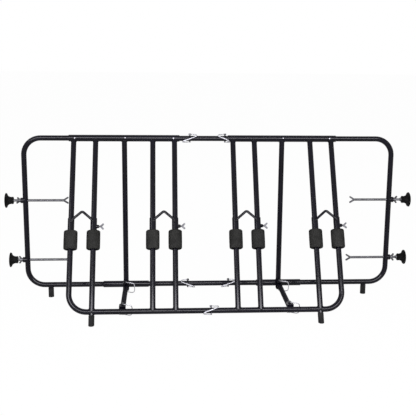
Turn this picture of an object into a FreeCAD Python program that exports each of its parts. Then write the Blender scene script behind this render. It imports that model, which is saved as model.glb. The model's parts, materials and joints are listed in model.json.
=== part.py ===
import FreeCAD, Part
import math
import os

from FreeCAD import Rotation, Vector

# Truck bed bike rack: an upright rear frame that clamps between the walls of a truck bed, and a
# leaning front frame with four wheel slots, hinged on the rear frame's top rail.
# All sizes in millimetres. The rack is drawn with the rear frame in the XZ plane, its bottom rail
# on the X axis and x = 0 midway between the slots. It is then leaned back, stood on the floor and
# centred over its footprint. +X is the rack's right seen from the front, +Y its back.

# Tubes
tube_od = 20.0
tube_wall = 1.5
sleeve_wall = 2.42
swage_wall = 1.6
strut_od = 19.0
slide_gap = 0.08
end_gap = 0.5
bend_radius = 64.0

# Rear frame
rear_height = 572.0
left_reach = 679.0
right_reach = 731.0
top_joint = (-36.0, 64.0)
bottom_joint = (-42.0, 84.0)
width_travel = 50.8
slot_end = 12.7
lean_deg = 2.0
low_rail_height = 42.06

# Front frame
front_length = 656.0
spread_deg = 26.3
inner_slot_x = 152.4
slot_pitch = 297.0
slot_width = 82.0
hinge_sleeve_length = 120.0
front_joint_x = -3.0

# Feet
rear_foot_inset = 86.0
stub_od = 18.0
foot_wall = 1.5
foot_sole = 5.0
foot_cap_length = 20.0

# Lock pins and their wire bails
pin_od = 6.0
pin_gap = 0.1
pin_head_od = 9.0
pin_head_length = 6.0
pin_inset = 17.0
pin_clear = 2.6
strut_pin_clear = 7.4
bail_wire = 2.4
bail_reach = 26.0
bail_bow = 0.75
ring_reach = 34.0
bail_gap = 0.3
bail_end_gap = 1.0

# Struts and their brackets
strut_end_gap = 2.5
strut_end_radius = 12.0
bracket_plate = 3.0
bracket_bite = 1.0
bracket_gap = 3.0
mouth_flare = 5.0

# Side clamp screws
screw_od = 9.5
screw_gap = 0.05
screw_hole_gap = 0.5
screw_length = 237.0
screw_heights = (101.0, 334.0)
left_free_threads = (3.7, 11.7)
right_free_threads = (12.7, 17.7)
boss_od = 21.0
boss_length = 7.5
cup_od = 57.0
cup_rim = 4.0
cup_waist = 3.5
cup_length = 29.0
cup_hub_od = 27.0
cup_hub_length = 9.0
cup_dish_od = 42.0
cup_dish_depth = 2.0
cup_socket = 14.0
wing_length = 16.0
wing_span = 27.0
wing_plate = 3.4
wing_root = 7.0
wing_tip_od = 6.5
nut_hub_length = 8.5
nut_hub_od = 15.0
nut_wing_length = 12.0
nut_span = 30.0
left_nut_turns = (0.0, 50.0)
right_nut_turns = (0.0, 12.0)

# Wheel clamps
clamp_drop = 314.0
clamp_wall = 1.92
clamp_sleeve_end = 3.0
roller_gap = 8.5
roller_od = 50.0
roller_length = 70.0
roller_edge = 5.0
hoop_rod = 9.5
hoop_rise = 23.0
hoop_bend = 8.0
hoop_lead = 4.0
lock_inset = 31.0
lock_boss_root = 3.0
lock_boss_od = 15.0
lock_boss_tip_od = 11.0
lock_boss_length = 8.0
lock_bolt_od = 6.0
lock_gap = 1.8
lock_wing_length = 12.0
lock_wing_span = 23.0

# Worked out from the sizes above
tube_r = tube_od / 2
bore_r = tube_r - tube_wall
sleeve_bore_r = tube_r + slide_gap
sleeve_r = sleeve_bore_r + sleeve_wall
clamp_r = sleeve_bore_r + clamp_wall
stub_r = stub_od / 2
foot_r = stub_r + foot_wall
swage_r = bore_r - slide_gap
swage_bore_r = swage_r - swage_wall
swage_length = width_travel + pin_inset + slot_end
spread = math.radians(spread_deg)
lean = math.radians(lean_deg)
post_x = inner_slot_x + slot_pitch / 2
slot_centres = (inner_slot_x, inner_slot_x + slot_pitch)
post_sleeve_length = slot_pitch - hinge_sleeve_length - 2 * end_gap
front_rail_y = -front_length * math.sin(spread)
front_rail_z = rear_height - front_length * math.cos(spread)
front_rail_fall = front_rail_y * math.sin(lean) - front_rail_z * math.cos(lean)
rail_height = low_rail_height + max(front_rail_fall, 0.0)
front_rail_height = rail_height - front_rail_fall
strut_span = math.hypot(front_rail_y, front_rail_z)
strut_slope_deg = math.degrees(math.atan2(-front_rail_z, -front_rail_y))
strut_gap_half = strut_od / 2 + bracket_gap
bracket_half = strut_gap_half + bracket_plate
strut_pin_offset = sleeve_r - bracket_bite + bracket_plate + strut_end_gap + strut_end_radius
pin_r = pin_od / 2
pin_hole_r = pin_r + pin_gap
screw_r = screw_od / 2
nut_length = wing_root / 2 + nut_wing_length
lock_drop = clamp_drop + lock_inset
roller_drop = lock_drop + lock_boss_od / 2 + roller_gap
clamp_sleeve_length = roller_drop + roller_length - clamp_sleeve_end - clamp_drop
X, Y, Z = Vector(1, 0, 0), Vector(0, 1, 0), Vector(0, 0, 1)
ORIGIN = Vector(0, 0, 0)


def cylinder(radius, start, axis, length):
    return Part.makeCylinder(radius, length, start, axis)


def rod_between(radius, start, end):
    return Part.makeCylinder(radius, (end - start).Length, start, end - start)


def tube_between(start, end, outer_r, inner_r):
    return rod_between(outer_r, start, end).cut(rod_between(inner_r, start, end))


def joined(shapes):
    """One clean solid from several that meet."""
    whole = shapes[0].fuse(shapes[1:]) if len(shapes) > 1 else shapes[0]
    return whole.removeSplitter()


def only_solid(shape):
    """The shape as a plain solid where it holds just one."""
    return shape.Solids[0] if len(shape.Solids) == 1 else shape


def bend_points(before, corner, after, radius):
    """Where a tangent arc at the corner starts and ends, and its centre."""
    back = (before - corner).normalize()
    ahead = (after - corner).normalize()
    half = math.acos(back.dot(ahead)) / 2
    reach = radius / math.tan(half)
    centre = corner + (back + ahead).normalize() * (radius / math.sin(half))
    return corner + back * reach, corner + ahead * reach, centre


def bent_rod(points, radius, bend):
    """Round rod along straight runs between the points, with a tangent bend at each inner one."""
    pieces = []
    start = points[0]
    for before, corner, after in zip(points, points[1:], points[2:]):
        enter, leave, centre = bend_points(before, corner, after, bend)
        pieces.append(rod_between(radius, start, enter))
        section = Part.Face(Part.Wire(Part.makeCircle(radius, enter, corner - before)))
        axis = (enter - centre).cross(leave - centre)
        turn = math.degrees((enter - centre).getAngle(leave - centre))
        pieces.append(section.revolve(centre, axis, turn))
        start = leave
    pieces.append(rod_between(radius, start, points[-1]))
    return pieces[0].fuse(pieces[1:])


def bent_tube(points):
    """Frame tube along the points, at the bender's one radius."""
    outer = bent_rod(points, tube_r, bend_radius)
    return outer.cut(bent_rod(points, bore_r, bend_radius))


def bent_wire(points):
    """Thin spring wire with mitred corners, six-sided in section."""
    path = Part.makePolygon(points)
    ahead = (points[1] - points[0]).normalize()
    spoke = ahead.cross(Z).normalize() * (bail_wire / 2)
    corners = []
    for step in range(6):
        corners.append(points[0] + Rotation(ahead, 60 * step).multVec(spoke))
    section = Part.makePolygon(corners + [corners[0]])
    return path.makePipeShell([section], True, False, 1)


def plate(outline, normal, thickness):
    """Flat plate from a closed outline, centred on the outline's plane."""
    face = Part.Face(Part.makePolygon(outline + [outline[0]]))
    face.translate(normal * (-thickness / 2))
    return face.extrude(normal * thickness)


def sign_of(side):
    return -1 if side == "left" else 1


def reach_of(side):
    """X of a side upright's axis."""
    return -left_reach if side == "left" else right_reach


def joint_of(pair, side):
    return pair[0] if side == "left" else pair[1]


def swing_front(shape):
    """From the front frame's own upright plane to its leaning place under the top rail."""
    placed = shape.copy()
    placed.rotate(ORIGIN, X, -spread_deg)
    placed.translate(Vector(0, 0, rear_height))
    return placed


def tilt_strut(shape):
    """From level to the slope of the line that joins the two bottom rails."""
    placed = shape.copy()
    placed.rotate(ORIGIN, X, strut_slope_deg)
    return placed


def stand(shape):
    """Lean the whole rack back and set it on the floor at z = 0."""
    placed = shape.copy()
    placed.rotate(ORIGIN, X, -lean_deg)
    placed.translate(Vector(0, 0, rail_height))
    return placed


def pin_x(pair, side):
    """X of the lock pin near a side tube's open end."""
    return joint_of(pair, side) + sign_of(side) * pin_inset


def pin_slot(start, travel, z):
    """Long hole that a lock pin keeps to while the tube slides by its travel."""
    low = min(start, start + travel)
    box = Part.makeBox(abs(travel), 2 * pin_hole_r, 2 * tube_od,
                       Vector(low, -pin_hole_r, z - tube_od))
    ends = [cylinder(pin_hole_r, Vector(x, 0, z - tube_od), Z, 2 * tube_od)
            for x in (start, start + travel)]
    return box.fuse(ends)


def foot_stub(top, down, length):
    return cylinder(stub_r, top, down, length)


def rear_foot_x(side):
    return reach_of(side) - sign_of(side) * rear_foot_inset


def rear_frame(side):
    """Wide U: top leg, side upright and bottom leg of one bent tube, with a foot stub."""
    x = reach_of(side)
    rails = ((rear_height, top_joint), (0.0, bottom_joint))
    points = [
        Vector(joint_of(top_joint, side), 0, rear_height),
        Vector(x, 0, rear_height),
        Vector(x, 0, 0),
        Vector(joint_of(bottom_joint, side), 0, 0),
    ]
    tube = bent_tube(points)
    for z, pair in rails:
        hole = Vector(pin_x(pair, side), 0, z - tube_od)
        tube = tube.cut(cylinder(pin_hole_r, hole, Z, 2 * tube_od))
    for z in screw_heights:
        start = Vector(x - tube_od, 0, z)
        tube = tube.cut(cylinder(screw_r + screw_hole_gap, start, X, 2 * tube_od))
    foot_x = rear_foot_x(side)
    stub_length = rail_height - foot_sole
    stub = foot_stub(Vector(foot_x, 0, 0), -Z, stub_length)
    bottom_leg = cylinder(tube_r, Vector(foot_x - tube_od, 0, 0), X, 2 * tube_od)
    return joined([tube, stub.cut(bottom_leg)])


def screw_bosses(side):
    """Two threaded bosses welded on the outside of the side upright."""
    x = reach_of(side)
    out = X * sign_of(side)
    upright = cylinder(tube_r, Vector(x, 0, 0), Z, rear_height)
    bosses = []
    for z in screw_heights:
        boss = cylinder(boss_od / 2, Vector(x, 0, z), out, tube_r + boss_length)
        bore = cylinder(screw_r + screw_gap, Vector(x, 0, z), out, tube_od + boss_length)
        bosses.append(boss.cut(upright).cut(bore))
    return Part.makeCompound([only_solid(boss) for boss in bosses])


def centre_tube(pair, z):
    """Short tube between the side tubes, with a swaged end sliding in each of them."""
    low, high = pair
    body = cylinder(tube_r, Vector(low, 0, z), X, high - low)
    start = Vector(low - swage_length, 0, z)
    length = high - low + 2 * swage_length
    swage = cylinder(swage_r, start, X, length)
    tube = joined([body, swage]).cut(cylinder(swage_bore_r, start, X, length))
    for side in ("left", "right"):
        tube = tube.cut(pin_slot(pin_x(pair, side), sign_of(side) * width_travel, z))
    return tube


def strut_bracket(rail_r):
    """Channel behind or before a bottom rail: a web on the rail and two lugs for the pin.

    Drawn round a rail on the X axis, opening towards -Y.
    """
    half = strut_end_radius
    web_y = -(rail_r - bracket_bite)
    lugs = []
    for z in (strut_gap_half, -bracket_half):
        box = Part.makeBox(2 * half, strut_pin_offset + web_y, bracket_plate,
                           Vector(-half, -strut_pin_offset, z))
        eye = cylinder(half, Vector(0, -strut_pin_offset, z), Z, bracket_plate)
        lugs.append(box.fuse(eye))
    web = Part.makeBox(2 * half, bracket_plate, 2 * bracket_half,
                       Vector(-half, web_y - bracket_plate, -bracket_half))
    hole = cylinder(pin_hole_r, Vector(0, -strut_pin_offset, -tube_od), Z, 2 * tube_od)
    rail = cylinder(rail_r, Vector(-2 * half, 0, 0), X, 4 * half)
    return joined([web] + lugs).cut(hole).cut(rail)


def post(side):
    """Middle post between two sleeves that are fixed on the rails, with the strut's bracket."""
    x = sign_of(side) * post_x
    sleeves = []
    stock = []
    for z in (0.0, rear_height):
        start = Vector(x - post_sleeve_length / 2, 0, z)
        end = start + X * post_sleeve_length
        sleeves.append(tube_between(start, end, sleeve_r, sleeve_bore_r))
        stock.append(rod_between(sleeve_r, start, end))
    tube = tube_between(Vector(x, 0, 0), Vector(x, 0, rear_height), tube_r, bore_r)
    bracket = tilt_strut(strut_bracket(sleeve_r))
    bracket.translate(Vector(x, 0, 0))
    return joined([tube.cut(stock)] + sleeves + [bracket.cut(stock)])


def upright_xs(side):
    """X of one half's four uprights, from the outside in."""
    outer = inner_slot_x + slot_pitch
    half = slot_width / 2
    distances = (outer + half, outer - half, inner_slot_x + half, inner_slot_x - half)
    return [sign_of(side) * distance for distance in distances]


def hinge_sleeve_span(side, centre):
    start = sign_of(side) * centre - hinge_sleeve_length / 2
    return Vector(start, 0, 0), Vector(start + hinge_sleeve_length, 0, 0)


def front_foot_x(side):
    return upright_xs(side)[1]


def front_foot_length():
    """From the front rail's axis to the floor, along the leaning uprights."""
    return front_rail_height / math.cos(spread + lean)


def front_sole():
    """Rubber under a front stub's axis: the full sole under its lowest edge."""
    return foot_sole + stub_r * math.tan(spread + lean)


def front_frame(side):
    """Half of the leaning frame, drawn upright with its hinge on the X axis."""
    xs = upright_xs(side)
    rail_z = -front_length
    corner = Vector(xs[0], 0, rail_z)
    rail_end = Vector(front_joint_x, 0, rail_z)
    edge_tube = bent_tube([Vector(xs[0], 0, 0), corner, rail_end])
    spans = [hinge_sleeve_span(side, centre) for centre in slot_centres]
    stock = [rod_between(sleeve_r, start, end) for start, end in spans]
    sleeves = [tube_between(start, end, sleeve_r, sleeve_bore_r) for start, end in spans]
    rail_stock = rod_between(tube_r, corner, rail_end)
    uprights = [
        tube_between(Vector(x, 0, 0), Vector(x, 0, rail_z), tube_r, bore_r)
        for x in xs[1:]
    ]
    members = [edge_tube.cut(stock)] + sleeves
    members += [upright.cut(stock + [rail_stock]) for upright in uprights]
    foot_top = Vector(front_foot_x(side), 0, rail_z)
    stub_length = front_foot_length() - front_sole()
    members.append(foot_stub(foot_top, -Z, stub_length).cut(rail_stock))
    bracket = strut_bracket(tube_r)
    bracket.rotate(ORIGIN, Z, 180)
    bracket.rotate(ORIGIN, X, strut_slope_deg + spread_deg)
    bracket.translate(Vector(sign_of(side) * post_x, 0, rail_z))
    members.append(bracket.cut(rail_stock))
    pin_place = front_joint_x + pin_inset
    if side == "left":
        members.append(front_swage())
        return joined(members).cut(pin_slot(pin_place, 2 * width_travel, rail_z))
    hole = cylinder(pin_hole_r, Vector(pin_place, 0, rail_z - tube_od), Z, 2 * tube_od)
    return joined(members).cut(hole)


def front_swage():
    """Swaged end of the left half, which slides in the right half's rail."""
    rail_z = -front_length
    root = pin_inset
    reach = 2 * width_travel + pin_inset + slot_end
    start = Vector(front_joint_x - root, 0, rail_z)
    collar = cylinder(bore_r, start, X, root)
    male = cylinder(swage_r, start, X, root + reach)
    return joined([collar, male]).cut(cylinder(swage_bore_r, start, X, root + reach))


def foot_cap(axis_top, down, length, sole):
    """Rubber tip over a stub, longer than it has to be: the floor cuts it flat."""
    start = axis_top + down * (length - foot_cap_length)
    cap = cylinder(foot_r, start, down, foot_cap_length + 2 * foot_r)
    return cap.cut(cylinder(stub_r, start, down, foot_cap_length - sole))


def on_floor(shape):
    """What lies above the floor once the rack stands."""
    size = 4 * rear_height
    below = Part.makeBox(size, size, size, Vector(-size / 2, -size / 2, -size))
    return shape.cut(below)


def strut():
    """Tube between the two strut pins with round ends, drawn level along -Y.

    The rear end's hole is open to the back, so the strut can leave its pin there.
    """
    near = -strut_pin_offset
    far = -(strut_span - strut_pin_offset)
    ends = strut_end_radius
    tube = tube_between(Vector(0, near + ends, 0), Vector(0, far - ends, 0),
                        strut_od / 2, strut_od / 2 - tube_wall)
    trim = Part.makeBox(2 * ends, near - far, 2 * ends, Vector(-ends, far, -ends))
    for y in (near, far):
        trim = trim.fuse(cylinder(ends, Vector(0, y, -ends), Z, 2 * ends))
        tube = tube.cut(cylinder(pin_hole_r, Vector(0, y, -strut_od), Z, 2 * strut_od))
    mouth_half = pin_hole_r + mouth_flare
    mouth = plate([
        Vector(-pin_hole_r, near, 0),
        Vector(-mouth_half, near + ends + bracket_gap, 0),
        Vector(mouth_half, near + ends + bracket_gap, 0),
        Vector(pin_hole_r, near, 0),
    ], Z, 2 * strut_od)
    return tube.common(trim).cut(mouth)


def lock_pin(half_height, clear):
    """Straight pin with a round head, drawn on the Z axis through a tube at the origin."""
    low = Vector(0, 0, -half_height - clear)
    shank = cylinder(pin_r, low, Z, 2 * half_height + clear)
    head = cylinder(pin_head_od / 2, Vector(0, 0, half_height), Z, pin_head_length)
    return joined([shank, head])


def wire_bail(half_height, low_reach, lean_side, front):
    """Spring wire from the pin's head, across the front of the tube, to the pin's tip."""
    top = half_height + pin_head_length / 2
    tip = -half_height - pin_clear + bail_wire / 2
    head_x = lean_side * (pin_head_od / 2 + bail_end_gap)
    tip_x = -lean_side * (pin_r + bail_end_gap)
    side_y = -front * bail_bow
    points = [
        Vector(head_x, 0, top),
        Vector(lean_side * bail_reach, side_y, half_height),
        Vector(0, -front, 0),
        Vector(-lean_side * low_reach, side_y, -half_height),
        Vector(tip_x, 0, tip),
    ]
    return bent_wire(points)


def ring_bail(half_height, side_y):
    """Wide wire loop that hangs beside a strut pin, from its head round to its tip."""
    top = half_height + pin_head_length / 2
    tip = -half_height - strut_pin_clear + bail_wire / 2
    points = [
        Vector(0, -(pin_head_od + bail_wire) / 2 - bail_gap, top),
        Vector(ring_reach, side_y, top),
        Vector(ring_reach, side_y, tip),
        Vector(pin_r + bail_end_gap, 0, tip),
    ]
    return bent_wire(points)


def wings(base, direction, length, span):
    """Two wings with round tips that spread in a Y from the base, in the vertical plane."""
    root = wing_root / 2
    tip = wing_tip_od / 2
    pieces = []
    for up in (Z, -Z):
        centre = base + direction * (length - tip) + up * (span / 2 - tip)
        spoke = (centre - base).cross(Y).normalize()
        arm = [base + spoke * root, centre + spoke * tip, centre - spoke * tip, base - spoke * root]
        pieces.append(plate(arm, Y, wing_plate))
        pieces.append(cylinder(tip, centre - Y * (wing_plate / 2), Y, wing_plate))
    return pieces[0].fuse(pieces[1:])


def cup_face_x(side, level):
    """X of a cup's outer face: boss, wing nut, free thread and cup beyond the upright."""
    threads = left_free_threads if side == "left" else right_free_threads
    inner = tube_r + boss_length + bail_gap + nut_length
    return reach_of(side) + sign_of(side) * (inner + threads[level] + cup_length)


def clamp_screw(side, level):
    """Threaded rod with wings on its inner end, through the boss and the upright."""
    inward = X * -sign_of(side)
    outer_end = Vector(cup_face_x(side, level), 0, screw_heights[level])
    start = outer_end + inward * (cup_length - cup_socket)
    rod_length = screw_length - (cup_length - cup_socket) - wing_length
    rod = cylinder(screw_r, start, inward, rod_length)
    base = start + inward * (rod_length - wing_root / 2)
    return joined([rod, wings(base, inward, wing_length + wing_root / 2, wing_span)])


def cup_foot(side, level):
    """Bell-shaped rubber cup that presses on the bed wall, with a socket for the rod's end."""
    dish = cup_dish_od / 2
    socket = screw_r + screw_gap
    rim = Vector(cup_rim, 0, cup_od / 2)
    hub = Vector(cup_length - cup_hub_length, 0, cup_hub_od / 2)
    waist = (rim + hub) / 2 + (rim - hub).cross(Y).normalize() * cup_waist
    before = [
        Vector(cup_length - cup_socket, 0, 0), Vector(cup_dish_depth, 0, 0),
        Vector(cup_dish_depth, 0, dish), Vector(0, 0, dish), Vector(0, 0, cup_od / 2), rim,
    ]
    after = [
        hub, Vector(cup_length, 0, cup_hub_od / 2), Vector(cup_length, 0, socket),
        Vector(cup_length - cup_socket, 0, socket), before[0],
    ]
    edges = Part.makePolygon(before).Edges + [Part.Arc(rim, waist, hub).toShape()]
    edges += Part.makePolygon(after).Edges
    cup = Part.Face(Part.Wire(edges)).revolve(ORIGIN, X, 360)
    if side == "right":
        cup.rotate(ORIGIN, Z, 180)
    cup.translate(Vector(cup_face_x(side, level), 0, screw_heights[level]))
    return cup


def nut_turn(side, level):
    turns = left_nut_turns if side == "left" else right_nut_turns
    return turns[level]


def wing_nut(side, level):
    """Wing nut that jams against the boss."""
    out = X * sign_of(side)
    z = screw_heights[level]
    start = Vector(reach_of(side), 0, z) + out * (tube_r + boss_length + bail_gap)
    hub = cylinder(nut_hub_od / 2, start, out, nut_hub_length)
    ears = wings(start + out * (wing_root / 2), out, nut_wing_length, nut_span)
    bore = cylinder(screw_r + screw_gap, start, out, nut_length)
    nut = joined([hub, ears]).cut(bore)
    nut.rotate(start, out, nut_turn(side, level))
    return nut


def clamp_xs(index):
    """X of the two uprights that wheel clamp number index slides on, left one first."""
    centre = (-slot_centres[1], -slot_centres[0], slot_centres[0], slot_centres[1])[index]
    return centre - slot_width / 2, centre + slot_width / 2


def wheel_clamp(index):
    """Two sliding sleeves joined by a bent rod, with the lock bolt's boss on the right one."""
    low_x, high_x = clamp_xs(index)
    top = Vector(0, 0, -clamp_drop)
    bottom = Vector(0, 0, -clamp_drop - clamp_sleeve_length)
    bores = [rod_between(sleeve_bore_r, top + X * x, bottom + X * x) for x in (low_x, high_x)]
    members = [
        rod_between(clamp_r, top + X * x, bottom + X * x) for x in (low_x, high_x)
    ]
    hoop_y = -sleeve_bore_r - hoop_rod / 2
    hoop_foot = -clamp_drop - hoop_rod
    hoop_top = -clamp_drop + hoop_rise
    centre = (low_x + high_x) / 2
    members.append(bent_rod([
        Vector(low_x + hoop_lead, hoop_y, hoop_foot),
        Vector(centre, hoop_y, hoop_top),
        Vector(high_x - hoop_lead, hoop_y, hoop_foot),
    ], hoop_rod / 2, hoop_bend))
    root = Vector(high_x + clamp_r - lock_boss_root, 0, -lock_drop)
    members.append(Part.makeCone(lock_boss_od / 2, lock_boss_tip_od / 2,
                                 lock_boss_length + lock_boss_root, root, X))
    body = joined(members).cut(bores)
    bore = cylinder(lock_bolt_od / 2 + screw_gap, Vector(high_x, 0, -lock_drop), X, 2 * tube_od)
    return only_solid(body.cut(bore))


def foam_rollers(index):
    """Two foam rollers on the lower ends of the clamp's sleeves."""
    rollers = []
    for x in clamp_xs(index):
        start = Vector(x, 0, -roller_drop)
        roller = cylinder(roller_od / 2, start, -Z, roller_length)
        roller = roller.makeChamfer(roller_edge, [roller.Edges[0], roller.Edges[2]])
        rollers.append(roller.cut(cylinder(clamp_r, start, -Z, roller_length)))
    return Part.makeCompound([only_solid(roller) for roller in rollers])


def wing_bolt(index):
    """Short bolt with wings, whose tip presses on the upright."""
    high_x = clamp_xs(index)[1]
    start = Vector(high_x + tube_r + bail_gap, 0, -lock_drop)
    boss_end = high_x + clamp_r + lock_boss_length
    base = Vector(boss_end + lock_gap + wing_root / 2, 0, -lock_drop)
    shank = rod_between(lock_bolt_od / 2, start, base)
    return joined([shank, wings(base, X, lock_wing_length, lock_wing_span)])


def moved(shape, x=0.0, y=0.0, z=0.0):
    placed = shape.copy()
    placed.translate(Vector(x, y, z))
    return placed


def room_to_upright(x):
    """How far a bail may reach to the right before the front frame's inner upright."""
    return upright_xs("right")[3] - tube_r - bail_end_gap - bail_wire - x


def rail_lock_parts():
    """Pins and bails of the five telescoping joints. The bails lean to both sides by turns."""
    parts = {}
    top_right_x = pin_x(top_joint, "right")
    short_reach = min(bail_reach, room_to_upright(top_right_x))
    places = (
        ("top_left", pin_x(top_joint, "left"), rear_height, 1, bail_reach),
        ("top_right", top_right_x, rear_height, -1, short_reach),
        ("bottom_left", pin_x(bottom_joint, "left"), 0.0, -1, bail_reach),
        ("bottom_right", pin_x(bottom_joint, "right"), 0.0, 1, bail_reach),
    )
    half_height = tube_r + pin_clear
    front = tube_r + pin_clear + bail_wire
    pin = lock_pin(half_height, pin_clear)
    for name, x, z, lean_side, low_reach in places:
        parts["rail_pin_" + name] = moved(pin, x, 0, z)
        bail = wire_bail(half_height, low_reach, lean_side, front)
        parts["pin_bail_" + name] = moved(bail, x, 0, z)
    x = front_joint_x + pin_inset
    bail = wire_bail(half_height, bail_reach, 1, front)
    parts["rail_pin_front"] = swing_front(moved(pin, x, 0, -front_length))
    parts["pin_bail_front"] = swing_front(moved(bail, x, 0, -front_length))
    return parts


def strut_parts():
    parts = {}
    pin = lock_pin(bracket_half, strut_pin_clear)
    ring = ring_bail(bracket_half, -(strut_end_radius + bail_wire))
    near = -strut_pin_offset
    far = -(strut_span - strut_pin_offset)
    for side in ("left", "right"):
        x = sign_of(side) * post_x
        parts["strut_" + side] = moved(tilt_strut(strut()), x)
        for place, y in (("rear", near), ("front", far)):
            parts["strut_pin_%s_%s" % (place, side)] = moved(tilt_strut(moved(pin, 0, y)), x)
            parts["strut_ring_%s_%s" % (place, side)] = moved(tilt_strut(moved(ring, 0, y)), x)
    return parts


def side_parts(side):
    """Everything of one side that isn't a lock pin or a strut."""
    x = rear_foot_x(side)
    front_foot_top = Vector(front_foot_x(side), 0, -front_length)
    front_foot = foot_cap(front_foot_top, -Z, front_foot_length(), front_sole())
    parts = {
        "rear_frame_" + side: rear_frame(side),
        "screw_bosses_" + side: screw_bosses(side),
        "post_" + side: post(side),
        "front_frame_" + side: swing_front(front_frame(side)),
        "rear_foot_" + side: foot_cap(Vector(x, 0, 0), -Z, rail_height, foot_sole),
        "front_foot_" + side: swing_front(front_foot),
    }
    for level, name in enumerate(("lower", "upper")):
        key = "_%s_%s" % (name, side)
        parts["clamp_screw" + key] = clamp_screw(side, level)
        parts["cup_foot" + key] = cup_foot(side, level)
        parts["wing_nut" + key] = wing_nut(side, level)
    return parts


def wheel_clamp_parts():
    parts = {}
    for index in range(4):
        number = str(index + 1)
        parts["wheel_clamp_" + number] = swing_front(wheel_clamp(index))
        parts["foam_rollers_" + number] = swing_front(foam_rollers(index))
        parts["wing_bolt_" + number] = swing_front(wing_bolt(index))
    return parts


def rack_parts():
    """Every piece, leaned back and standing on the floor."""
    parts = {
        "top_centre_tube": centre_tube(top_joint, rear_height),
        "bottom_centre_tube": centre_tube(bottom_joint, 0.0),
    }
    for side in ("left", "right"):
        parts.update(side_parts(side))
    parts.update(rail_lock_parts())
    parts.update(strut_parts())
    parts.update(wheel_clamp_parts())
    standing = {name: stand(shape) for name, shape in parts.items()}
    for name in standing:
        if "_foot_" in name and not name.startswith("cup"):
            standing[name] = on_floor(standing[name])
    return standing


def footprint_centre(parts):
    """Middle of the rack's box, as a shift within the floor."""
    box = Part.makeCompound(list(parts.values())).optimalBoundingBox(False, False)
    return Vector((box.XMin + box.XMax) / 2, (box.YMin + box.YMax) / 2, 0)


rack = rack_parts()
centre_shift = footprint_centre(rack)
os.makedirs("parts", exist_ok=True)
for node, solid in rack.items():
    moved(only_solid(solid), -centre_shift.x, -centre_shift.y).exportStep("parts/%s.step" % node)
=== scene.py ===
import json
import math

import bmesh
import bpy
from mathutils import Matrix, Vector


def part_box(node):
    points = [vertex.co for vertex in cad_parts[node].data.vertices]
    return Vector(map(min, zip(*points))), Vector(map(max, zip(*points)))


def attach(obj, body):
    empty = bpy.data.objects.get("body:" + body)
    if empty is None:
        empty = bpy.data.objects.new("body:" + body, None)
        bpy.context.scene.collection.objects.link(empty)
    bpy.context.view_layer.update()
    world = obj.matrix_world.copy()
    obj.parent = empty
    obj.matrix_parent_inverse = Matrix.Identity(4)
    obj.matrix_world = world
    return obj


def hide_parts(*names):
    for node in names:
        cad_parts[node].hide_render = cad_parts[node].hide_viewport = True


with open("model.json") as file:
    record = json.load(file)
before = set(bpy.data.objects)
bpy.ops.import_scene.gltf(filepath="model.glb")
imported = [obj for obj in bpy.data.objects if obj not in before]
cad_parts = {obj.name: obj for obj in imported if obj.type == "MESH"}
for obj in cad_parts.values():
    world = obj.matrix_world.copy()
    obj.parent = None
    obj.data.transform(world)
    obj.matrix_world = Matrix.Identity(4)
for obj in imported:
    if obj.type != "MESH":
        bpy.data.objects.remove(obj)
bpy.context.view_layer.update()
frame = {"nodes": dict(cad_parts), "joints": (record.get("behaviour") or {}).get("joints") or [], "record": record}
nodes = frame["nodes"]
joints = {joint["name"]: joint for joint in frame["joints"]}

# Tubes and sleeves, in metres like all lengths here
TUBE_R = 0.010
SLEEVE_R = 0.0125
STUB_R = 0.009

# From the top rail's axis down to the bottom rail's, along each frame's uprights
RAIL_DROP = {"rear": 0.572, "front": 0.656}

# Rubber sleeves above the feet
FOOT_R = 0.0105
FOOT_SLEEVE_GAP = 0.0001
FOOT_SLEEVE_EDGE = 0.001

# Foam rollers, whose end faces dip a little toward the bore
CAD_ROLLER_R = 0.025
ROLLER_R = 0.0247
ROLLER_BORE_R = 0.0122
ROLLER_DROP = 0.361
ROLLER_LENGTH = 0.070
ROLLER_SHOULDER_R = 0.0055
ROLLER_CROWN = 0.0003
ROLLER_DIP = 0.0004

# Pins and their wires, which are drawn thicker than the pack has them
PIN_R = 0.003
PIN_HEAD_R = 0.0045
PIN_HEAD_LENGTH = 0.006
PIN_TIP_DROP = 0.0014
RAIL_PIN_HALF = 0.0126
WIRE_R = 0.0012
WIRE_DRAWN_R = 0.0016
WIRE_GAP = 0.0003
WIRE_STUB = PIN_HEAD_R + 0.0015
WIRE_HOOK = PIN_R + 0.004

# Which way each rail pin's wire leans: 1 has its upper bow to the right
BAIL_LEANS = {"top_left": 1, "top_right": -1, "bottom_left": -1, "bottom_right": 1, "front": 1}

# A bail's bend, widest place and shoulder, as shares of its reach and of its bow to the front
BAIL_BEND = (0.82, 0.35)
BAIL_WIDEST = (1, 0.75)
BAIL_SHOULDER = (0.8, 0.9)
BAIL_SHOULDER_HEIGHT = 0.62
BAIL_SWELLING = (1, 1, 1, 1, 1.1, 1.35, 1.75, 1.3, 1, 1, 1)

# A strut pin's ring: its bow to the front, the rise and shares of its first bend, and its other
# points as shares of the reach, the bow and the fall
RING_BOW = 0.0144
RING_RISE = 0.0006
RING_BEND = (0.3, 0.8)
RING_LOOP = ((0.8, 1, 0), (1, 1, 0.15), (1.02, 1, 0.5), (1, 1, 0.85), (0.8, 0.9, 1), (0.4, 0.4, 1))

# Clamp screws and the hexagon collars on two of them
SCREW_R = 0.00475
SCREW_GAP = 0.00005
THREAD_PITCH = 0.0015875
COLLAR_R = 0.0072
COLLAR_FACE_R = 0.86 * COLLAR_R
COLLAR_LENGTH = 0.006
COLLAR_CHAMFER = 0.0008
COLLAR_GAP = 0.0012
COLLAR_SOFT_EDGE = 0.0003

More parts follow.
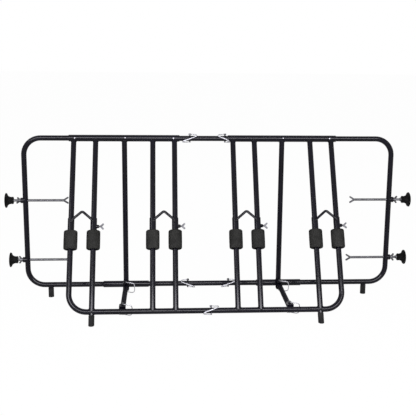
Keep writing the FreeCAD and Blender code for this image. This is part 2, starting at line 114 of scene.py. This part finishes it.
# Rubber cups: the rim and the dished face, its wall as inward from the dish's edge and depth
CUP_R = 0.0285
CUP_LENGTH = 0.029
CUP_LIP_R = 0.0012
CUP_RIM = 0.004
CUP_WAIST = 0.0035
CUP_DISH = 0.002
CUP_DISH_R = 0.022
CUP_DISH_WALL = ((0.0022, CUP_DISH), (0.0014, 0.0015), (0.0008, 0.0003), (0, 0))
CUP_GROOVE_RS = (0.006, 0.013)
CUP_GROOVE_DEPTH = 0.0006
CUP_GROOVE_FLAT = 0.0012

# Hub of a cup, with the bead round it placed from the hub's end
CUP_HUB_R = 0.0135
CUP_HUB_LENGTH = 0.009
CUP_HUB_EDGE = 0.0009
CUP_SOCKET = 0.014
CUP_BEAD_HEIGHT = 0.0006
CUP_BEAD_FOOT = 0.0052
CUP_BEAD_START = 0.0042
CUP_BEAD_END = 0.002

# Weld beads: how far they stand off the branch and the rail, and each ripple's size, waves and phase
BEAD_R = 0.0014
BEAD_OUT = 0.35 * BEAD_R
BEAD_LIFT = 0.3 * BEAD_R
BEAD_POINTS = 28
BEAD_RIPPLES = ((0.18, 9, 0), (0.1, 14, 1))

# Painted glints: bright metal dabs on the sleeves where the welds show highlights, whose tilt is how far they face
# forward and up
GLINT_INSET_LEFT = 0.004
GLINT_INSET_RIGHT = 0.006
GLINT_TILT = (0.94, -0.34)
GLINT_R = 0.003
GLINT_HEIGHT = 0.0009
POST_GLINT_SHIFT = 0.003
POST_GLINT_TILT = (0.97, 0.25)
POST_GLINT_R = 0.0024
POST_GLINT_HEIGHT = 0.0008

# Welds at the ends of a wheel clamp's rod: down, outward, radius and height of each drop
HOOP_DROP = 0.3235
HOOP_LEAD = 0.004
HOOP_STAND = 0.0035
HOOP_BLOBS = ((0.002, 0, 0.0052, 0.0034), (0.0045, 0.002, 0.004, 0.0026))

# How uneven a drop of weld is, and how fast that changes from point to point
BLOB_SWELL = 0.12
BLOB_TURN = 5.3

# Angle in degrees under which two faces are shaded as one
SMOOTH_PLAIN = 38
SMOOTH_CUP = 50
SMOOTH_BLOB = 80

# Camera, fitted to the frame's own lines in the photograph
CAMERA_PLACE = (-0.1851, -2.5554, 0.9445)
CAMERA_YAW_DEG = -3.6927
CAMERA_PITCH_DEG = -12.3550
CAMERA_ROLL_DEG = 0.6065
CAMERA_LENS = 61.91

# Name, place, width and height, and power of each lamp
LAMPS = (
    ("key", (-0.1, -3.0, 1.85), (3.9, 0.7), 185),
    ("front", (-0.1, -3.4, 1.0), (0.8, 0.8), 12),
    ("left", (-2.7, -2.0, 2.4), (0.9, 0.5), 14),
    ("back", (0.6, 3.0, 1.8), (1.6, 1.0), 8),
)
LAMP_COLOUR = (0.96, 0.95, 1.0)
LAMP_TARGET = (0, 0, 0.3)

# World and floor: strengths, where 1 is white, and the floor's own grey
WORLD_FILL = 0.06
WORLD_SEEN = 1.0
FLOOR_HALF = 30
FLOOR_GREY = 0.93
FLOOR_GLOW = 0.985

SIDES = ("left", "right")
LEVELS = ("lower", "upper")
WHEEL_SLOTS = (1, 2, 3, 4)
X = Vector((1, 0, 0))
Z = Vector((0, 0, 1))
HINGE = Vector(joints["fold"]["pos_m"])
UP = {
    "rear": Vector(joints["pin_top_left_pull"]["axis"]).normalized(),
    "front": Vector(joints["clamp_slide_1"]["axis"]).normalized(),
}


def new_material(name):
    material = bpy.data.materials.new(name)
    material.use_nodes = True
    tree = material.node_tree
    return material, tree, tree.nodes["Principled BSDF"]


def set_inputs(node, values):
    for key, value in values.items():
        node.inputs[key].default_value = value


def add_node(tree, kind, **values):
    """Node with the given inputs and settings."""
    node = tree.nodes.new(kind)
    for key, value in values.items():
        if key in node.inputs:
            node.inputs[key].default_value = value
        else:
            setattr(node, key, value)
    return node


def object_coords(tree):
    return tree.nodes.new("ShaderNodeTexCoord").outputs["Object"]


def noise(tree, scale, detail=3.0):
    texture = add_node(tree, "ShaderNodeTexNoise", Scale=scale, Detail=detail)
    tree.links.new(object_coords(tree), texture.inputs["Vector"])
    return texture.outputs["Fac"]


def ramp(tree, source, low, high, start=0.35, end=0.65):
    """Colour that runs from low to high while the source runs from start to end."""
    node = tree.nodes.new("ShaderNodeValToRGB")
    node.color_ramp.elements[0].position = start
    node.color_ramp.elements[0].color = (*low, 1)
    node.color_ramp.elements[1].position = end
    node.color_ramp.elements[1].color = (*high, 1)
    tree.links.new(source, node.inputs["Fac"])
    return node.outputs["Color"]


def vary(tree, source, low, high):
    """Value that runs from low to high while the source runs from 0 to 1."""
    node = tree.nodes.new("ShaderNodeMapRange")
    set_inputs(node, {"To Min": low, "To Max": high})
    tree.links.new(source, node.inputs["Value"])
    return node.outputs["Result"]


def vary_colour(tree, shader, scale, low, high):
    tree.links.new(ramp(tree, noise(tree, scale), low, high), shader.inputs["Base Color"])


def vary_roughness(tree, shader, scale, low, high):
    tree.links.new(vary(tree, noise(tree, scale), low, high), shader.inputs["Roughness"])


def bump(tree, shader, height, distance, strength, below=None):
    """Relief on a shader, on top of another relief where one is given."""
    node = add_node(tree, "ShaderNodeBump", Distance=distance, Strength=strength)
    tree.links.new(height, node.inputs["Height"])
    if below is not None:
        tree.links.new(below, node.inputs["Normal"])
    tree.links.new(node.outputs["Normal"], shader.inputs["Normal"])
    return node.outputs["Normal"]


def powder_coat(name, gloss):
    """Black powder coat with a trace of blue and a slight orange peel, under a thin clear coat."""
    material, tree, shader = new_material(name)
    vary_colour(tree, shader, scale=9.0, low=(0.0008, 0.0006, 0.0026), high=(0.0020, 0.0016, 0.0052))
    vary_roughness(tree, shader, scale=34.0, low=0.35, high=0.5)
    set_inputs(shader, {"Specular IOR Level": 0.01, "Coat Weight": gloss, "Coat Roughness": 0.15})
    bump(tree, shader, noise(tree, 620.0, detail=2.0), distance=0.00003, strength=0.08)
    return material


def weld_paint():
    """Black coat on a weld, a little lighter than on the tubes and far rougher in form."""
    material, tree, shader = new_material("coated_weld")
    vary_colour(tree, shader, scale=60.0, low=(0.005, 0.005, 0.006), high=(0.014, 0.014, 0.016))
    vary_roughness(tree, shader, scale=90.0, low=0.25, high=0.4)
    set_inputs(shader, {"Specular IOR Level": 0.1})
    bump(tree, shader, noise(tree, 900.0, detail=2.0), distance=0.00015, strength=0.8)
    return material


def thread_wave(tree):
    """One wave to each turn of thread along X, the way that the clamp screws lie."""
    # How far the texture turns in a metre at a scale of 1
    radians_per_metre = 20
    wave = add_node(tree, "ShaderNodeTexWave", wave_type="BANDS", bands_direction="X",
                    wave_profile="SIN")
    set_inputs(wave, {"Scale": 2 * math.pi / (radians_per_metre * THREAD_PITCH)})
    tree.links.new(object_coords(tree), wave.inputs["Vector"])
    return wave.outputs["Fac"]


def zinc(name, low, high, threaded=False):
    """Plated steel with a fine grain and a trace of blue. Threaded rods get a thread as relief."""
    material, tree, shader = new_material(name)
    blue = 1.07
    vary_colour(tree, shader, scale=70.0, low=(low, low, low * blue), high=(high, high, high * blue))
    vary_roughness(tree, shader, scale=160.0, low=0.34, high=0.5)
    set_inputs(shader, {"Metallic": 0.9})
    grain = bump(tree, shader, noise(tree, 1400.0, detail=1.0), distance=0.00002, strength=0.5)
    if threaded:
        bump(tree, shader, thread_wave(tree), distance=0.0002, strength=0.5, below=grain)
    return material


def rubber(name, low, high):
    """Moulded black rubber, dull, with a fine grain."""
    material, tree, shader = new_material(name)
    vary_colour(tree, shader, scale=40.0, low=(low, low, low), high=(high, high, high))
    vary_roughness(tree, shader, scale=55.0, low=0.48, high=0.64)
    set_inputs(shader, {"Specular IOR Level": 0.02})
    bump(tree, shader, noise(tree, 850.0, detail=2.0), distance=0.0001, strength=0.5)
    return material


def foam():
    """Closed-cell foam: dark grey with lighter specks and open cells cut at the skin."""
    material, tree, shader = new_material("closed_cell_foam")
    cells = add_node(tree, "ShaderNodeTexVoronoi", Scale=1100.0, Randomness=1.0)
    tree.links.new(object_coords(tree), cells.inputs["Vector"])
    specks = ramp(tree, cells.outputs["Distance"], low=(0.043, 0.043, 0.041),
                  high=(0.019, 0.019, 0.0175), start=0.05, end=0.6)
    tint = ramp(tree, noise(tree, 26.0), low=(0.8, 0.8, 0.8), high=(1.15, 1.15, 1.15))
    mix = add_node(tree, "ShaderNodeMix", data_type="RGBA", blend_type="MULTIPLY")
    set_inputs(mix, {"Factor": 1.0})
    tree.links.new(specks, mix.inputs["A"])
    tree.links.new(tint, mix.inputs["B"])
    tree.links.new(mix.outputs["Result"], shader.inputs["Base Color"])
    set_inputs(shader, {"Roughness": 0.88, "Specular IOR Level": 0.0})
    bump(tree, shader, cells.outputs["Distance"], distance=0.0003, strength=0.6)
    return material


MATERIALS = {
    "black_frame": powder_coat("black_powder_coat", gloss=0.32),
    "zinc_hardware": zinc("zinc_plate", 0.062, 0.105),
    "black_rubber": rubber("moulded_rubber", 0.004, 0.009),
    "grey_foam": foam(),
}
THREADED = zinc("zinc_thread", 0.065, 0.115, threaded=True)
# Bright zinc of the wires, also used as the colour of the painted weld glints
WIRE_AND_GLINT_METAL = zinc("wire_and_painted_glint_metal", 0.32, 0.46)
STRUT_COAT = powder_coat("matt_powder_coat", gloss=0.02)
FOOT_RUBBER = rubber("foot_rubber", 0.013, 0.021)
WELD = weld_paint()


def paint_cad_nodes():
    """Give each node of the pack its slot's material, or the one that its own kind has."""
    slots = {part["node"]: part["material_slot"] for part in frame["record"]["subparts"]}
    special = {"clamp_screw": THREADED, "strut_left": STRUT_COAT, "strut_right": STRUT_COAT,
               "rear_foot": FOOT_RUBBER, "front_foot": FOOT_RUBBER}
    for name, node in nodes.items():
        material = MATERIALS[slots[name]]
        for start, other in special.items():
            if name.startswith(start):
                material = other
        node.data.materials.clear()
        node.data.materials.append(material)
        for polygon in node.data.polygons:
            polygon.material_index = 0


def add_object(name, data, body, material):
    """Piece that rides on a body of the frame, with the given material."""
    piece = bpy.data.objects.new(name, data)
    bpy.context.scene.collection.objects.link(piece)
    piece.data.materials.append(material)
    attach(piece, body)
    return piece


def mesh_from(bm, name):
    bmesh.ops.recalc_face_normals(bm, faces=bm.faces)
    mesh = bpy.data.meshes.new(name)
    bm.to_mesh(mesh)
    bm.free()
    return mesh


def smooth_mesh(bm, name, degrees):
    """Mesh that is shaded smooth wherever its faces meet at less than an angle."""
    mesh = mesh_from(bm, name)
    mesh.polygons.foreach_set("use_smooth", [True] * len(mesh.polygons))
    mesh.set_sharp_from_angle(angle=math.radians(degrees))
    return mesh


def wheel_slot_xs(number):
    """X of the two uprights of a wheel slot, from the foam rollers on them."""
    low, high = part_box("foam_rollers_%d" % number)
    return [low.x + CAD_ROLLER_R, high.x - CAD_ROLLER_R]


def upright_xs(side):
    """X of the four uprights of one front half, from left to right."""
    numbers = WHEEL_SLOTS[:2] if side == "left" else WHEEL_SLOTS[2:]
    return [x for number in numbers for x in wheel_slot_xs(number)]


def middle_x(name):
    low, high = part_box(name)
    return (low.x + high.x) / 2


def frame_point(place, x, drop):
    """Point on the rear or front frame's mid plane, a drop down from the top rail's axis."""
    return Vector((x, HINGE.y, HINGE.z)) - UP[place] * drop


def wire_curve(name, splines, radius, closed=False, smooth=4):
    """Round wire through the given points, as one curve with a spline for each run."""
    curve = bpy.data.curves.new(name, "CURVE")
    curve.dimensions = "3D"
    curve.bevel_depth = radius
    curve.bevel_resolution = 3
    curve.use_fill_caps = True
    curve.resolution_u = smooth
    for points, swelling in splines:
        spline = curve.splines.new("NURBS")
        spline.points.add(len(points) - 1)
        for place, point, swell in zip(spline.points, points, swelling):
            place.co = (*point, 1)
            place.radius = swell
        spline.use_cyclic_u = closed
        spline.use_endpoint_u = not closed
        spline.order_u = 3
    return curve


def revolve(bm, profile, start, axis, segments):
    """Solid of revolution from (radius, distance) points, round an axis from a start.

    A profile that starts on the axis also ends there. Any other one is the section of a ring and
    closes from its last point to its first.
    """
    along_x = abs(axis.dot(X)) > 0.5
    side = axis.cross(Z if along_x else X).normalized()
    other = axis.cross(side).normalized()
    rings = []
    for radius, distance in profile:
        centre = start + axis * distance
        if radius == 0:
            rings.append([bm.verts.new(centre)])
            continue
        ring = []
        for step in range(segments):
            angle = 2 * math.pi * step / segments
            out = side * math.cos(angle) + other * math.sin(angle)
            ring.append(bm.verts.new(centre + out * radius))
        rings.append(ring)
    pairs = list(zip(rings, rings[1:]))
    if profile[0][0] > 0:
        pairs.append((rings[-1], rings[0]))
    for first, second in pairs:
        for step in range(segments):
            after = (step + 1) % segments
            corners = [first[step % len(first)], second[step % len(second)],
                       second[after % len(second)], first[after % len(first)]]
            bm.faces.new(list(dict.fromkeys(corners)))


def arc(radius, distance, bend_r, start_deg, end_deg, steps):
    """Round edge of a profile about (radius, distance): 0 degrees faces the start, 90 outward."""
    points = []
    for step in range(steps + 1):
        angle = math.radians(start_deg + (end_deg - start_deg) * step / steps)
        points.append((radius + bend_r * math.sin(angle), distance - bend_r * math.cos(angle)))
    return points


def weld_ring(centre, branch, rail_r, branch_r):
    """Points and swelling of the bead round a branch tube, where it leaves a rail along X."""
    side = X.cross(branch).normalized()
    points = []
    swelling = []
    for step in range(BEAD_POINTS):
        angle = 2 * math.pi * step / BEAD_POINTS
        along = math.cos(angle) * (branch_r + BEAD_OUT)
        across = math.sin(angle) * (branch_r + BEAD_OUT)
        reach = math.sqrt(rail_r ** 2 - min(abs(across), rail_r) ** 2)
        points.append(centre + X * along + side * across + branch * (reach + BEAD_LIFT))
        ripples = [size * math.sin(waves * angle + phase) for size, waves, phase in BEAD_RIPPLES]
        swelling.append(1 + sum(ripples))
    return points, swelling


def add_weld(place, side, rings):
    name = "weld_%s_%s" % (place, side)
    curve = wire_curve(name, rings, BEAD_R, closed=True)
    add_object(name, curve, "%s_%s" % (place, side), WELD)


def add_front_weld(side):
    """Beads of a front half. Its outermost upright bends into the bottom rail, with no bead there."""
    xs = upright_xs(side)
    outermost, above_foot = (xs[0], xs[1]) if side == "left" else (xs[3], xs[2])
    up = UP["front"]
    drop = RAIL_DROP["front"]
    rings = []
    for x in xs:
        rings.append(weld_ring(frame_point("front", x, 0), -up, SLEEVE_R, TUBE_R))
    for x in xs:
        if x != outermost:
            rings.append(weld_ring(frame_point("front", x, drop), up, TUBE_R, TUBE_R))
    rings.append(weld_ring(frame_point("front", above_foot, drop), -up, TUBE_R, STUB_R))
    add_weld("front", side, rings)


def add_rear_weld(side):
    """Beads at both ends of a middle post and at the stub of a rear foot."""
    post_x = middle_x("strut_" + side)
    foot_x = middle_x("rear_foot_" + side)
    up = UP["rear"]
    drop = RAIL_DROP["rear"]
    rings = [
        weld_ring(frame_point("rear", post_x, 0), -up, SLEEVE_R, TUBE_R),
        weld_ring(frame_point("rear", post_x, drop), up, SLEEVE_R, TUBE_R),
        weld_ring(frame_point("rear", foot_x, drop), -up, TUBE_R, STUB_R),
    ]
    add_weld("rear", side, rings)


def add_welds():
    """Beads of both frames, one piece to each half."""
    for side in SIDES:
        add_front_weld(side)
        add_rear_weld(side)


def add_foot_sleeves():
    """Rubber sleeves that carry each foot's outline up its stub to the rail."""
    for place, up in UP.items():
        for side in SIDES:
            foot = "%s_foot_%s" % (place, side)
            rail = frame_point(place, middle_x(foot), RAIL_DROP[place])
            # A leaning foot's highest point is the edge of its top face, above the face's middle
            foot_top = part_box(foot)[1].z - FOOT_R * abs(up.y)
            start = TUBE_R + 2 * BEAD_R
            end = (rail.z - foot_top) / up.z
            profile = [
                (STUB_R + FOOT_SLEEVE_GAP, start),
                (FOOT_R - FOOT_SLEEVE_EDGE, start),
                (FOOT_R, start + FOOT_SLEEVE_EDGE),
                (FOOT_R, end),
                (STUB_R + FOOT_SLEEVE_GAP, end),
            ]
            bm = bmesh.new()
            revolve(bm, profile, rail, -up, segments=48)
            name = "foot_sleeve_%s_%s" % (place, side)
            mesh = smooth_mesh(bm, name, SMOOTH_PLAIN)
            add_object(name, mesh, "%s_%s" % (place, side), FOOT_RUBBER)


def roller_profile():
    """A foam ring with rounded shoulders and a faint crown, from the bore out and back."""
    shoulder_r = ROLLER_R - ROLLER_SHOULDER_R
    straight = ROLLER_LENGTH - 2 * ROLLER_SHOULDER_R
    crown_steps = 6
    points = [(ROLLER_BORE_R, ROLLER_DIP)]
    points += arc(shoulder_r, ROLLER_SHOULDER_R, ROLLER_SHOULDER_R, 0, 90, steps=7)
    for step in range(1, crown_steps):
        share = step / crown_steps
        points.append((ROLLER_R + ROLLER_CROWN * math.sin(math.pi * share),
                       ROLLER_SHOULDER_R + straight * share))
    points += arc(shoulder_r, ROLLER_LENGTH - ROLLER_SHOULDER_R, ROLLER_SHOULDER_R, 90, 180, steps=7)
    points.append((ROLLER_BORE_R, ROLLER_LENGTH - ROLLER_DIP))
    return points


def add_rollers():
    """Foam rollers, a pair on each wheel clamp."""
    for number in WHEEL_SLOTS:
        bm = bmesh.new()
        for x in wheel_slot_xs(number):
            top = frame_point("front", x, ROLLER_DROP)
            revolve(bm, roller_profile(), top, -UP["front"], segments=48)
        name = "foam_pair_%d" % number
        mesh = smooth_mesh(bm, name, SMOOTH_PLAIN)
        piece = add_object(name, mesh, "wheel_clamp_%d" % number, MATERIALS["grey_foam"])
        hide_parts("foam_rollers_%d" % number)


def cup_face():
    """Dished face of a cup with two ring grooves, from its middle to the dish's edge."""
    points = [(0, CUP_DISH)]
    for radius in CUP_GROOVE_RS:
        floor_start = radius + CUP_GROOVE_DEPTH
        floor_end = floor_start + CUP_GROOVE_FLAT
        points += [
            (radius, CUP_DISH),
            (floor_start, CUP_DISH + CUP_GROOVE_DEPTH),
            (floor_end, CUP_DISH + CUP_GROOVE_DEPTH),
            (floor_end + CUP_GROOVE_DEPTH, CUP_DISH),
        ]
    return points + [(CUP_DISH_R - inward, depth) for inward, depth in CUP_DISH_WALL]


def cup_flank():
    """Hollow flank of a cup, from behind its rim to the hub."""
    start = Vector((CUP_R - CUP_LIP_R, CUP_RIM))
    end = Vector((CUP_HUB_R, CUP_LENGTH - CUP_HUB_LENGTH))
    inward = Vector((start.y - end.y, end.x - start.x)).normalized()
    steps = 10
    points = []
    for step in range(steps + 1):
        share = step / steps
        sink = CUP_WAIST * 4 * share * (1 - share)
        points.append(tuple(start.lerp(end, share) + inward * sink))
    return points


def cup_hub():
    """Hub of a cup with a bead round it, a bevelled end and the socket of the screw."""
    bead_r = CUP_HUB_R + CUP_BEAD_HEIGHT
    socket_r = SCREW_R + SCREW_GAP
    return [
        (CUP_HUB_R, CUP_LENGTH - CUP_BEAD_FOOT),
        (bead_r, CUP_LENGTH - CUP_BEAD_START),
        (bead_r, CUP_LENGTH - CUP_BEAD_END),
        (CUP_HUB_R, CUP_LENGTH - CUP_HUB_EDGE),
        (CUP_HUB_R - CUP_HUB_EDGE, CUP_LENGTH),
        (socket_r, CUP_LENGTH),
        (socket_r, CUP_LENGTH - CUP_SOCKET),
        (0, CUP_LENGTH - CUP_SOCKET),
    ]


def cup_profile():
    """Bell-shaped cup from the middle of its face round the rim and along the hub to the socket."""
    lip = arc(CUP_R - CUP_LIP_R, CUP_LIP_R, CUP_LIP_R, 0, 180, steps=6)
    return cup_face() + lip + cup_flank() + cup_hub()


def screw_line(tag):
    """Middle of a cup's face, and the direction from it along the clamp screw."""
    joint = joints["screw_turn_" + tag]
    return Vector(joint["pos_m"]), -Vector(joint["axis"])


def add_cups():
    """Rubber cups at the outer ends of the clamp screws."""
    for side in SIDES:
        for level in LEVELS:
            tag = "%s_%s" % (level, side)
            face, inward = screw_line(tag)
            bm = bmesh.new()
            revolve(bm, cup_profile(), face, inward, segments=64)
            mesh = smooth_mesh(bm, "rubber_cup_" + tag, SMOOTH_CUP)
            piece = add_object("rubber_cup_" + tag, mesh, "cup_" + tag, MATERIALS["black_rubber"])
            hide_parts("cup_foot_" + tag)


def add_collars():
    """Hexagon nuts on the right-hand screws, just before the cups."""
    profile = [
        (0, 0),
        (COLLAR_FACE_R, 0),
        (COLLAR_R, COLLAR_CHAMFER),
        (COLLAR_R, COLLAR_LENGTH - COLLAR_CHAMFER),
        (COLLAR_FACE_R, COLLAR_LENGTH),
        (0, COLLAR_LENGTH),
    ]
    for level in LEVELS:
        tag = level + "_right"
        face, inward = screw_line(tag)
        start = face + inward * (CUP_LENGTH + COLLAR_GAP)
        bm = bmesh.new()
        revolve(bm, profile, start, inward, segments=6)
        mesh = mesh_from(bm, "hex_collar_" + tag)
        piece = add_object("hex_collar_" + tag, mesh, "screw_" + tag, MATERIALS["zinc_hardware"])
        piece.modifiers.new("soft edges", "BEVEL").width = COLLAR_SOFT_EDGE


def wire_pivot(pin):
    """Middle of a pin's head, where its wire turns."""
    return Vector(joints[pin + "_bail"]["pos_m"])


def add_wire(name, body, pin, points, swelling):
    """Bright wire through points that lie right, forward and up from the middle of a pin's head."""
    pivot = wire_pivot(pin)
    up = Vector(joints[pin + "_pull"]["axis"]).normalized()
    front = X.cross(up)
    places = [pivot + X * right + front * forward + up * rise for right, forward, rise in points]
    curve = wire_curve(name, [(places, swelling)], WIRE_DRAWN_R, smooth=6)
    return add_object(name, curve, body, WIRE_AND_GLINT_METAL)


def bail_side(reach, bow, end, half):
    """A bail's way from one end of its pin toward the middle of the tube's front."""
    heights = (end, half, half * BAIL_SHOULDER_HEIGHT)
    shares = (BAIL_BEND, BAIL_WIDEST, BAIL_SHOULDER)
    return [(reach * out, bow * forward, height) for (out, forward), height in zip(shares, heights)]


def add_bails():
    """Spring wires of the rail pins: through the head, across the tube's front, to the tip."""
    head = RAIL_PIN_HALF + PIN_HEAD_LENGTH / 2
    tip = -RAIL_PIN_HALF - PIN_TIP_DROP
    bow = RAIL_PIN_HALF + 2 * WIRE_R
    for name, lean in BAIL_LEANS.items():
        pivot = wire_pivot("pin_" + name)
        low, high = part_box("pin_bail_" + name)
        right = high.x - pivot.x - WIRE_R
        left = pivot.x - low.x - WIRE_R
        over, under = (right, left) if lean > 0 else (left, right)
        path = [
            (-WIRE_STUB, 0, head),
            (WIRE_STUB, 0, head),
            *bail_side(over, bow, head, RAIL_PIN_HALF),
            (0, bow, 0),
            *reversed(bail_side(-under, bow, tip, -RAIL_PIN_HALF)),
            (-WIRE_HOOK, 0, tip),
            (-PIN_R - WIRE_GAP, 0, tip),
        ]
        points = [(lean * out, forward, height - head) for out, forward, height in path]
        piece = add_wire("wire_bail_" + name, "bail_" + name, "pin_" + name, points, BAIL_SWELLING)
        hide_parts("pin_bail_" + name)


def add_rings():
    """Wide wire loops of the strut pins: through the head, down beside the strut, to the tip."""
    for place in UP:
        for side in SIDES:
            tag = "%s_%s" % (place, side)
            low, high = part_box("strut_ring_" + tag)
            reach = high.x - wire_pivot("strut_pin_" + tag).x - WIRE_R
            fall = high.z - low.z - 2 * WIRE_R
            bend_out, bend_forward = RING_BEND
            points = [
                (0, -WIRE_STUB, 0),
                (0, WIRE_STUB, 0),
                (reach * bend_out, RING_BOW * bend_forward, RING_RISE),
            ]
            for out, forward, down in RING_LOOP:
                points.append((reach * out, RING_BOW * forward, -fall * down))
            points.append((PIN_R + WIRE_GAP, 0, -fall))
            piece = add_wire("wire_ring_" + tag, "ring_" + tag, "strut_pin_" + tag, points,
                             [1] * len(points))
            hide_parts("strut_ring_" + tag)


def blob(bm, centre, normal, radius, height):
    """A low round drop of weld on a surface."""
    turn = normal.to_track_quat("Z", "Y").to_matrix()
    made = bmesh.ops.create_icosphere(bm, subdivisions=2, radius=1.0)
    for index, vert in enumerate(made["verts"]):
        swell = 1 + BLOB_SWELL * math.sin(BLOB_TURN * index)
        flat = Vector((vert.co.x * radius * swell, vert.co.y * radius * swell, vert.co.z * height))
        vert.co = centre + turn @ flat


def add_painted_glint_piece(place, side, axis_points, tilt, radius, height):
    """Painted glints: bright metal dabs on the skin of sleeves, out from the given points of the sleeves' axis."""
    forward, rise = tilt
    up = UP[place]
    out = (X.cross(up) * forward + up * rise).normalized()
    bm = bmesh.new()
    for point in axis_points:
        blob(bm, point + out * SLEEVE_R, out, radius, height)
    body = "%s_%s" % (place, side)
    name = "painted_glints_" + body
    # The dabs are bright metal that stands in for glints, a painted highlight
    add_object(name, smooth_mesh(bm, name, SMOOTH_BLOB), body, WIRE_AND_GLINT_METAL)


def add_painted_glints():
    """Painted glints: bright metal dabs where the welds catch the light on the hinge sleeves and on the middle
    posts' sleeves.
    """
    left_xs = upright_xs("left")
    right_xs = upright_xs("right")
    glint_xs = {
        "left": [left_xs[0] + GLINT_INSET_LEFT, left_xs[3] - GLINT_INSET_LEFT],
        "right": [right_xs[3] - GLINT_INSET_RIGHT],
    }
    for side, xs in glint_xs.items():
        points = [frame_point("front", x, 0) for x in xs]
        add_painted_glint_piece("front", side, points, GLINT_TILT, GLINT_R, GLINT_HEIGHT)
    for side in SIDES:
        x = middle_x("strut_" + side) + POST_GLINT_SHIFT
        points = [frame_point("rear", x, drop) for drop in (0, RAIL_DROP["rear"])]
        add_painted_glint_piece("rear", side, points, POST_GLINT_TILT, POST_GLINT_R, POST_GLINT_HEIGHT)


def add_hoop_welds():
    """Beads where each wheel clamp's rod ends on its two sleeves."""
    up = UP["front"]
    out = X.cross(up)
    for number in WHEEL_SLOTS:
        bm = bmesh.new()
        for x, inward in zip(wheel_slot_xs(number), (1, -1)):
            axis_point = frame_point("front", x + inward * HOOP_LEAD, HOOP_DROP)
            foot = axis_point + out * (TUBE_R + HOOP_STAND)
            for down, outward, radius, height in HOOP_BLOBS:
                blob(bm, foot - up * down - X * inward * outward, out, radius, height)
        name = "hoop_weld_%d" % number
        mesh = smooth_mesh(bm, name, SMOOTH_BLOB)
        add_object(name, mesh, "wheel_clamp_%d" % number, WELD)


def add_camera():
    data = bpy.data.cameras.new("camera")
    data.lens = CAMERA_LENS
    data.sensor_width = 36.0
    data.clip_end = 100.0
    camera = bpy.data.objects.new("camera", data)
    turn = (Matrix.Rotation(math.radians(CAMERA_YAW_DEG), 4, "Z")
            @ Matrix.Rotation(math.radians(90 + CAMERA_PITCH_DEG), 4, "X")
            @ Matrix.Rotation(math.radians(CAMERA_ROLL_DEG), 4, "Z"))
    camera.matrix_world = Matrix.Translation(CAMERA_PLACE) @ turn
    bpy.context.scene.collection.objects.link(camera)
    bpy.context.scene.camera = camera


def seen_directly(tree):
    """1 for rays from the camera, off a glossy surface or through a clear one, otherwise 0."""
    path = tree.nodes.new("ShaderNodeLightPath")
    first = add_node(tree, "ShaderNodeMath", operation="MAXIMUM")
    second = add_node(tree, "ShaderNodeMath", operation="MAXIMUM")
    tree.links.new(path.outputs["Is Camera Ray"], first.inputs[0])
    tree.links.new(path.outputs["Is Glossy Ray"], first.inputs[1])
    tree.links.new(first.outputs[0], second.inputs[0])
    tree.links.new(path.outputs["Is Transmission Ray"], second.inputs[1])
    return second.outputs[0]


def add_world():
    """White surroundings that light the object only a little."""
    world = bpy.data.worlds.new("studio")
    bpy.context.scene.world = world
    world.use_nodes = True
    tree = world.node_tree
    background = tree.nodes["Background"]
    set_inputs(background, {"Color": (1, 1, 1, 1)})
    strength = vary(tree, seen_directly(tree), WORLD_FILL, WORLD_SEEN)
    tree.links.new(strength, background.inputs["Strength"])


def add_floor():
    """Pale floor that is almost white where it is seen, with a trace of the object's shadow."""
    bm = bmesh.new()
    bmesh.ops.create_grid(bm, x_segments=1, y_segments=1, size=FLOOR_HALF)
    mesh = mesh_from(bm, "floor")
    floor = bpy.data.objects.new("floor", mesh)
    bpy.context.scene.collection.objects.link(floor)
    material, tree, shader = new_material("pale_floor")
    set_inputs(shader, {"Base Color": (FLOOR_GREY, FLOOR_GREY, FLOOR_GREY, 1), "Roughness": 0.9,
                        "Specular IOR Level": 0.1})
    glow = add_node(tree, "ShaderNodeEmission", Strength=1.0)
    mix = tree.nodes.new("ShaderNodeMixShader")
    tree.links.new(vary(tree, seen_directly(tree), 0.0, FLOOR_GLOW), mix.inputs["Fac"])
    tree.links.new(shader.outputs["BSDF"], mix.inputs[1])
    tree.links.new(glow.outputs["Emission"], mix.inputs[2])
    tree.links.new(mix.outputs["Shader"], tree.nodes["Material Output"].inputs["Surface"])
    mesh.materials.append(material)


def add_lamp(name, place, size, power):
    """Flat lamp that faces the object."""
    data = bpy.data.lights.new(name, "AREA")
    data.color = LAMP_COLOUR
    data.shape = "RECTANGLE"
    data.size, data.size_y = size
    data.energy = power
    lamp = bpy.data.objects.new(name, data)
    lamp.location = place
    lamp.rotation_mode = "QUATERNION"
    lamp.rotation_quaternion = (Vector(LAMP_TARGET) - Vector(place)).to_track_quat("-Z", "Y")
    bpy.context.scene.collection.objects.link(lamp)


paint_cad_nodes()
add_welds()
add_foot_sleeves()
add_rollers()
add_cups()
add_collars()
add_bails()
add_rings()
add_painted_glints()
add_hoop_welds()
add_camera()
add_world()
add_floor()
for lamp in LAMPS:
    add_lamp(*lamp)
bpy.context.scene.view_settings.view_transform = "Standard"
